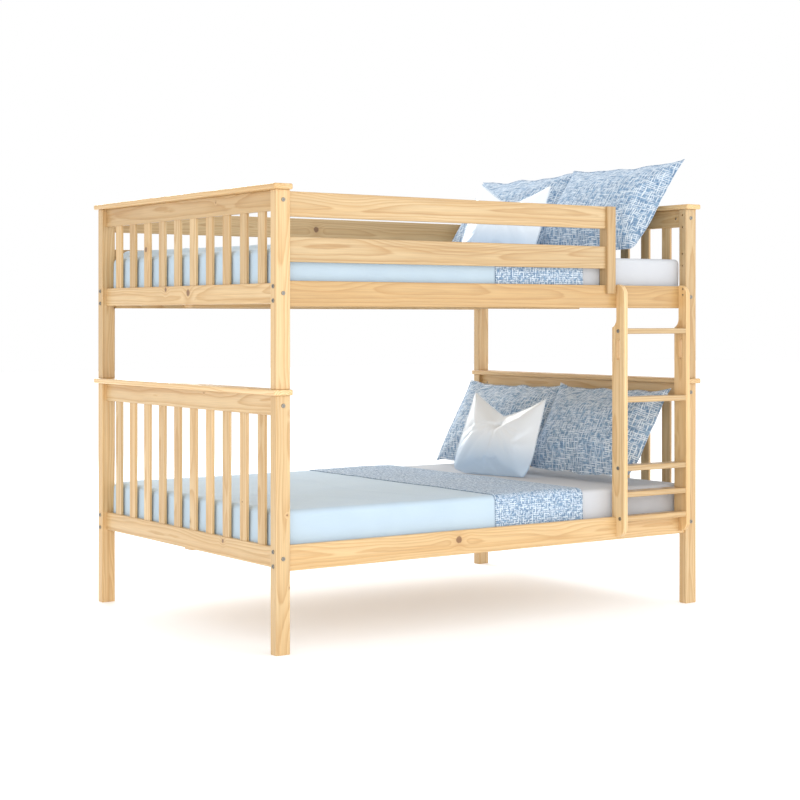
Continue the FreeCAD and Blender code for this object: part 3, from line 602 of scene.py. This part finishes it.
def hem(distance, height):
    """A turned and stitched edge: thicker up to the stitch line, which is pressed in."""
    band = height if distance < HEM_WIDTH else 0.0
    stitch = math.exp(-((distance - 0.8 * HEM_WIDTH) / STITCH_WIDTH) ** 2)
    return band - 0.9 * height * stitch


MATTRESS_SEED = {"lower": 8.0, "upper": 28.0}
BLANKET_SEED = {"lower": 41.0, "upper": 67.0}
THROW_SEED = {"lower": 83.0, "upper": 97.0}
MATTRESS_MESH = 0.020        # size of the quads
BLANKET_MESH = 0.012
THROW_MESH = 0.008


def make_mattress(bed):
    """The mattress. Returns the low and high corner of its box."""
    node = f"mattress_{bed}"
    low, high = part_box(node)
    low.x += FOOT_TUCK
    relief = mattress_relief(MATTRESS_SEED[bed])
    body = shell(f"mattress_soft_{bed}", low, high, MATTRESS_RADIUS, MATTRESS_MESH, relief)
    body.data.materials.append(materials["mattress"])
    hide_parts(node)
    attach(body, f"{bed}_bedding")
    return low, high


def thicken(cloth, thickness):
    rim = cloth.modifiers.new("thickness", "SOLIDIFY")
    rim.thickness = thickness
    rim.offset = 1.0


def make_blanket(bed, low, high):
    """The blanket over the foot of the mattress between low and high. Returns its relief."""
    node = f"blanket_{bed}"
    cad_low, cad_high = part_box(node)
    radius = MATTRESS_RADIUS + LAYER_GAP
    start = Vector((low.x - LAYER_GAP, low.y - LAYER_GAP, cad_low.z - radius))
    end = Vector((cad_high.x + radius, high.y + LAYER_GAP, high.z + LAYER_GAP))
    swell = blanket_relief(BLANKET_SEED[bed], high.z - MATTRESS_RADIUS)

    def wanted(corners):
        above = corners[:, Z].min() >= cad_low.z - GRID_TOLERANCE
        return above and corners[:, X].max() <= cad_high.x + GRID_TOLERANCE

    def relief(point, outward):
        rise = swell(point, outward)
        return rise + hem(point[2] - cad_low.z, BLANKET_HEM) + hem(cad_high.x - point[0], BLANKET_HEM)

    cloth = shell(f"blanket_cloth_{bed}", start, end, radius, BLANKET_MESH, relief, wanted)
    plumped(cloth, bed, low, high)
    cloth.data.materials.append(materials["blanket"])
    thicken(cloth, BLANKET_THICKNESS)
    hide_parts(node)
    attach(cloth, f"{bed}_bedding")
    return swell


THROW_EDGE_PRESS = 0.0009    # how far its edges are laid down onto the blanket
THROW_EDGE_WIDTH = 0.03


def make_throw(bed, low, high, under):
    """The throw across the bed. It lies over the blanket, whose relief is under."""
    node = f"throw_{bed}"
    cad_low, cad_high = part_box(node)
    offset = 2 * LAYER_GAP + BLANKET_THICKNESS + BLANKET_HEM
    radius = MATTRESS_RADIUS + offset
    start = Vector((cad_low.x - radius, low.y - offset, cad_low.z - radius))
    end = Vector((cad_high.x + radius, high.y + offset, high.z + offset))
    seed = THROW_SEED[bed]

    def wanted(corners):
        above = corners[:, Z].min() >= cad_low.z - GRID_TOLERANCE
        past_start = corners[:, X].min() >= cad_low.x - GRID_TOLERANCE
        return above and past_start and corners[:, X].max() <= cad_high.x + GRID_TOLERANCE

    def relief(point, outward):
        hang = hanging(point, high.z - MATTRESS_RADIUS)
        own = 0.0010 * (1 + ripple(point, 6.0, seed)) + 0.0012 * crease(point, 7.0, seed, 5.0)
        slack = 0.0010 * hang * (1 + ripple(point * np.array((1.0, 1.0, 0.1)), 16.0, seed))
        edge = min(point[0] - cad_low.x, cad_high.x - point[0])
        free = 1 - math.exp(-max(edge, 0.0) / THROW_EDGE_WIDTH)
        laid = own * free - THROW_EDGE_PRESS * (1 - free)
        hems = hem(edge, THROW_SIDE_HEM) + hem(point[2] - cad_low.z, THROW_END_HEM)
        return under(point, outward) + laid + slack + hems

    cloth = shell(f"throw_cloth_{bed}", start, end, radius, THROW_MESH, relief, wanted)
    cloth.data.materials.append(materials["throw"])
    thicken(cloth, THROW_THICKNESS)
    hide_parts(node)
    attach(cloth, f"{bed}_bedding")


# ---------------------------------------------------------------- stuffed pieces
# A pillow's own frame: X is its thickness with the front at -X, Y its width, Z its height.
CELL = 0.0085
LAST_FRAME = 20
PRESSURE = 4.0
SPARE_WIDTH = 1.06           # sewn cloth to finished cushion, before filling draws it in
SPARE_HEIGHT = 1.08
SEWN_GAP = 0.012             # from the middle plane to each sheet, before filling
SEWN_CRUMPLE = 0.004
SEAM_PULL = 0.032            # the most that a seam or wrinkle moves in the cushion's own plane
SIDE_BULGE = 0.012


def sewn_cloth(name, width, height, seed):
    """Two rectangles of cloth joined round the edge, the front and the back, slightly parted."""
    columns, rows = round(width / CELL), round(height / CELL)
    points, quads, index = [], [], {}
    for side in (-1, 1):
        for i in range(columns + 1):
            for j in range(rows + 1):
                rim = i in (0, columns) or j in (0, rows)
                if rim and side == 1:
                    index[side, i, j] = index[-1, i, j]
                    continue
                u, v = 2 * i / columns - 1, 2 * j / rows - 1
                gap = SEWN_GAP * (1 - u ** 4) * (1 - v ** 4)
                crumple = SEWN_CRUMPLE * noise.noise(Vector((u * 3, v * 3, seed + side)))
                index[side, i, j] = len(points)
                points.append((0 if rim else side * gap + crumple, u * width / 2, v * height / 2))
        for i in range(columns):
            for j in range(rows):
                quad = [index[side, i + di, j + dj] for di, dj in QUAD]
                quads.append(quad if side == 1 else quad[::-1])
    mesh = bpy.data.meshes.new(name)
    mesh.from_pydata(points, [], quads)
    edge = [index[-1, i, 0] for i in range(columns)]
    edge += [index[-1, columns, j] for j in range(rows)]
    edge += [index[-1, i, rows] for i in range(columns, 0, -1)]
    edge += [index[-1, 0, j] for j in range(rows, 0, -1)]
    return mesh, edge


def filled(mesh):
    """The mesh after cloth simulation with air pressure inside it."""
    trial = bpy.data.objects.new("trial", mesh)
    scene = bpy.context.scene
    scene.collection.objects.link(trial)
    cloth = trial.modifiers.new("cloth", "CLOTH")
    cloth.settings.quality = 6
    cloth.settings.mass = 0.25
    cloth.settings.tension_stiffness = 18
    cloth.settings.compression_stiffness = 18
    cloth.settings.shear_stiffness = 6
    cloth.settings.bending_stiffness = 0.4
    cloth.settings.use_pressure = True
    cloth.settings.uniform_pressure_force = PRESSURE
    cloth.settings.effector_weights.gravity = 0
    cloth.collision_settings.use_collision = False
    cloth.point_cache.frame_start = 1
    cloth.point_cache.frame_end = LAST_FRAME
    for step in range(1, LAST_FRAME + 1):
        scene.frame_set(step)
    held = trial.evaluated_get(bpy.context.evaluated_depsgraph_get())
    points = np.array([tuple(vertex.co) for vertex in held.data.vertices])
    bpy.data.objects.remove(trial)
    scene.frame_set(1)
    return points


def scaled(points, size):
    """Points moved to be centred on the origin and to fill this size."""
    low, high = points.min(0), points.max(0)
    return (points - (low + high) / 2) * (np.array(size) / (high - low))


def held_in(flat, points):
    """The filled cushion with its moves in its own plane capped, so that the corners don't draw out."""
    out = points.copy()
    move = points[:, 1:] - flat[:, 1:]
    far = np.linalg.norm(move, axis=1, keepdims=True)
    out[:, 1:] = flat[:, 1:] + move * SEAM_PULL / (SEAM_PULL + far)
    return out


def stuffed(name, size, seed):
    """(mesh, its points, its seam's vertices) of a cushion with these outer sizes."""
    thickness, width, height = size[0], size[1] * SPARE_WIDTH, size[2] * SPARE_HEIGHT
    mesh, edge = sewn_cloth(name, width, height, seed)
    flat = np.array([tuple(vertex.co) for vertex in mesh.vertices])
    points = held_in(flat, filled(mesh))
    return mesh, scaled(points, size), edge


def to_world(points, place):
    matrix = np.array(place)
    return points @ matrix[:3, :3].T + matrix[:3, 3]


def to_local(points, place):
    return to_world(points, place.inverted())


def seam_cord(name, points, radius):
    """A thin sewn edge round a cushion, as a closed tube along these points."""
    curve = bpy.data.curves.new(name, "CURVE")
    curve.dimensions = "3D"
    curve.bevel_depth = radius
    curve.bevel_resolution = 2
    spline = curve.splines.new("POLY")
    spline.points.add(len(points) - 1)
    spline.points.foreach_set("co", np.c_[points, np.ones(len(points))].ravel())
    spline.use_cyclic_u = True
    bare = bpy.data.objects.new(name + "_curve", curve)
    mesh = bpy.data.meshes.new_from_object(bare)
    mesh.name = name
    bpy.data.objects.remove(bare)
    return piece(name, mesh)


def place_stuffed(name, mesh, points, edge, place, material, node, body, seam):
    """Makes the cushion and its seam from points in its own frame, at place."""
    mesh.vertices.foreach_set("co", points.ravel())
    mesh.update()
    cushion = piece(name, mesh)
    cushion.matrix_world = place
    mesh.materials.append(material)
    smooth = cushion.modifiers.new("smooth", "SUBSURF")
    smooth.levels = 1
    smooth.render_levels = 1
    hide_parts(node)
    sewn = seam_cord(name + "_seam", points[edge], seam)
    sewn.matrix_world = place
    sewn.data.materials.append(material)
    for part in (cushion, sewn):
        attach(part, body)


def turned(degrees, axis):
    return Matrix.Rotation(math.radians(degrees), 4, axis)


def lean_place(node, lean, turn=0.0):
    """Where a pad stands: its CAD solid's middle, leaning towards the head and turned about Z."""
    low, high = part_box(node)
    return Matrix.Translation((low + high) / 2) @ turned(turn, "Z") @ turned(lean, "Y")


def settled(points, place, seat, back):
    """Points pressed flat against the mattress below and the plane of what the pad leans on."""
    points = points.copy()
    points[:, 0] = np.minimum(points[:, 0], back)
    world = to_world(points, place)
    world[:, 2] = np.maximum(world[:, 2], seat)
    return to_local(world, place)


PILLOW_THICKNESS = 0.130
PILLOW_WIDTH = 0.690
PILLOW_EXTRA_HEIGHT = 0.014
PILLOW_BULGE = {"front": 0.030, "rear": 0.010}   # how far each stands out in front of its CAD solid
PILLOW_ROUND_OFF = {"front": 0.034, "rear": 0.008}
PILLOW_LOFT = 0.012          # half of it at the back, where settled() presses it flat
PILLOW_EARS = 0.010
PILLOW_WAVE = 0.012          # how far it rises and falls along its length
PILLOW_SEAM = 0.0016


def shaped(points, size, round_off, ears):
    """The outline finished: bottom corners rounded off, top corners drawn out into ears, full sides."""
    out = points.copy()
    u, v = 2 * points[:, 1] / size[1], 2 * points[:, 2] / size[2]
    side = np.sign(u)
    bottom = np.abs(u) ** 3 * np.clip(-v, 0, 1) ** 3
    top = np.abs(u) ** 6 * np.clip(v, 0, 1) ** 6
    full = np.abs(u) ** 3 * (1 - v * v)
    out[:, 1] += side * (SIDE_BULGE * full + ears * top - round_off * bottom)
    out[:, 2] += ears * top + 0.8 * round_off * bottom
    return out


def make_pillow(bed, side, seed):
    node = f"pillow_{side}_{bed}"
    place = lean_place(node, PILLOW_LEAN[bed])
    height = PILLOW_HEIGHT[bed]
    front = PILLOW_BULGE[side]
    size = (PILLOW_THICKNESS + front + PILLOW_LOFT, PILLOW_WIDTH, height + PILLOW_EXTRA_HEIGHT)
    mesh, points, edge = stuffed(f"pillow_soft_{side}_{bed}", size, seed)
    points = shaped(points, size, PILLOW_ROUND_OFF[side], PILLOW_EARS)
    points[:, 2] += PILLOW_WAVE * np.array([noise.noise(Vector((9 * y, seed, 0))) for y in points[:, 1]])
    points[:, 0] -= front / 2
    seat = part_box(f"mattress_{bed}")[1].z + SEAT_GAP
    points = settled(points, place, seat, PILLOW_THICKNESS / 2)
    place_stuffed(f"pillow_soft_{side}_{bed}", mesh, points, edge, place, materials["pillow"], node,
                  f"{bed}_pillows", PILLOW_SEAM)


CUSHION_THICKNESS = 0.090
CUSHION_SIZE = (0.110, 0.440, 0.385)
CUSHION_ROUND_OFF = 0.032
CUSHION_SEAM = 0.0012
CHOP_DEPTH = 0.088
CHOP_FOOT = -0.45            # where the V's rise starts, from -1 at the bottom edge to 1 at the top
CHOP_SPREAD = 0.95           # how far out the V's arms reach, of half the width
CHOP_ROUNDING = 0.004
CHOP_TAPER = 0.10            # how much narrower the cushion is across its ears
VALLEY_HEIGHT = 0.62         # where the creases start
CREASE_FADE = 0.6
CREASE_WIDTH = 0.06
# where each crease below the V leads, against how far it has come down, and its depth
CHOP_CREASES = ((0.0, 0.022), (0.45, 0.012), (-0.45, 0.012), (0.95, 0.009), (-0.95, 0.009), (1.6, 0.006),
                (-1.6, 0.006))


def chopped(points, size):
    """The cushion's top pressed down in the middle into a V, with creases that run out below it."""
    thickness, width, height = size
    out = points.copy()
    u, v = 2 * points[:, 1] / width, 2 * points[:, 2] / height
    rise = eased((v - CHOP_FOOT) / (1 - CHOP_FOOT))
    valley = np.sqrt(u * u + CHOP_ROUNDING)
    out[:, 2] -= CHOP_DEPTH * np.clip(1 - valley / CHOP_SPREAD, 0, 1) * rise
    out[:, 1] *= 1 - CHOP_TAPER * np.clip((v + 1) / 2, 0, 1)
    front = np.clip(-points[:, 0] / (thickness / 2), 0, 1)
    for lean_over, depth in CHOP_CREASES:
        from_valley = VALLEY_HEIGHT - v
        line = u - lean_over * from_valley
        fade = np.exp(-np.clip(from_valley, 0, 2) / CREASE_FADE) * (from_valley > -0.5)
        out[:, 0] += depth * front * np.exp(-(line / CREASE_WIDTH) ** 2) * fade
    return out


def make_cushion(bed, seed):
    node = f"cushion_{bed}"
    place = lean_place(node, CUSHION_LEAN, CUSHION_TURN) @ turned(CUSHION_ROLL, "X")
    mesh, points, edge = stuffed(f"cushion_soft_{bed}", CUSHION_SIZE, seed)
    points = shaped(points, CUSHION_SIZE, CUSHION_ROUND_OFF, 0.0)
    points = chopped(points, CUSHION_SIZE)
    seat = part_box(f"mattress_{bed}")[1].z + SEAT_GAP
    points = settled(points, place, seat, CUSHION_THICKNESS / 2)
    place_stuffed(f"cushion_soft_{bed}", mesh, points, edge, place, materials["cushion"], node,
                  f"{bed}_pillows", CUSHION_SEAM)


# ---------------------------------------------------------------- assembly
add_camera()
add_studio()
add_floor()
finish_frame()

throw_colours = ((0.23, 0.37, 0.55), (0.72, 0.81, 0.89), (0.08, 0.15, 0.28))
pillow_colours = ((0.23, 0.38, 0.56), (0.76, 0.83, 0.89), (0.08, 0.16, 0.30))
materials = {
    "mattress": plain_weave("mattress_cotton", (0.59, 0.61, 0.64), (0.55, 0.57, 0.61), 0.0014, 0.1),
    "blanket": plain_weave("blanket_cotton", (0.51, 0.63, 0.72), (0.47, 0.59, 0.70), 0.0020, 0.15),
    "throw": slub_weave("throw_slub", X, Y, throw_colours, 0.0085, 0.012, folded=True),
    "pillow": slub_weave("pillow_slub", Y, Z, pillow_colours, 0.0080, 0.030),
    "cushion": satin("cushion_satin"),
}

for number, bed in enumerate(BEDS):
    mattress_low, mattress_high = make_mattress(bed)
    swell = make_blanket(bed, mattress_low, mattress_high)
    make_throw(bed, mattress_low, mattress_high, swell)
    make_pillow(bed, "front", 5.0 + 10 * number)
    make_pillow(bed, "rear", 8.0 + 10 * number)
    make_cushion(bed, 2.0 + 10 * number)
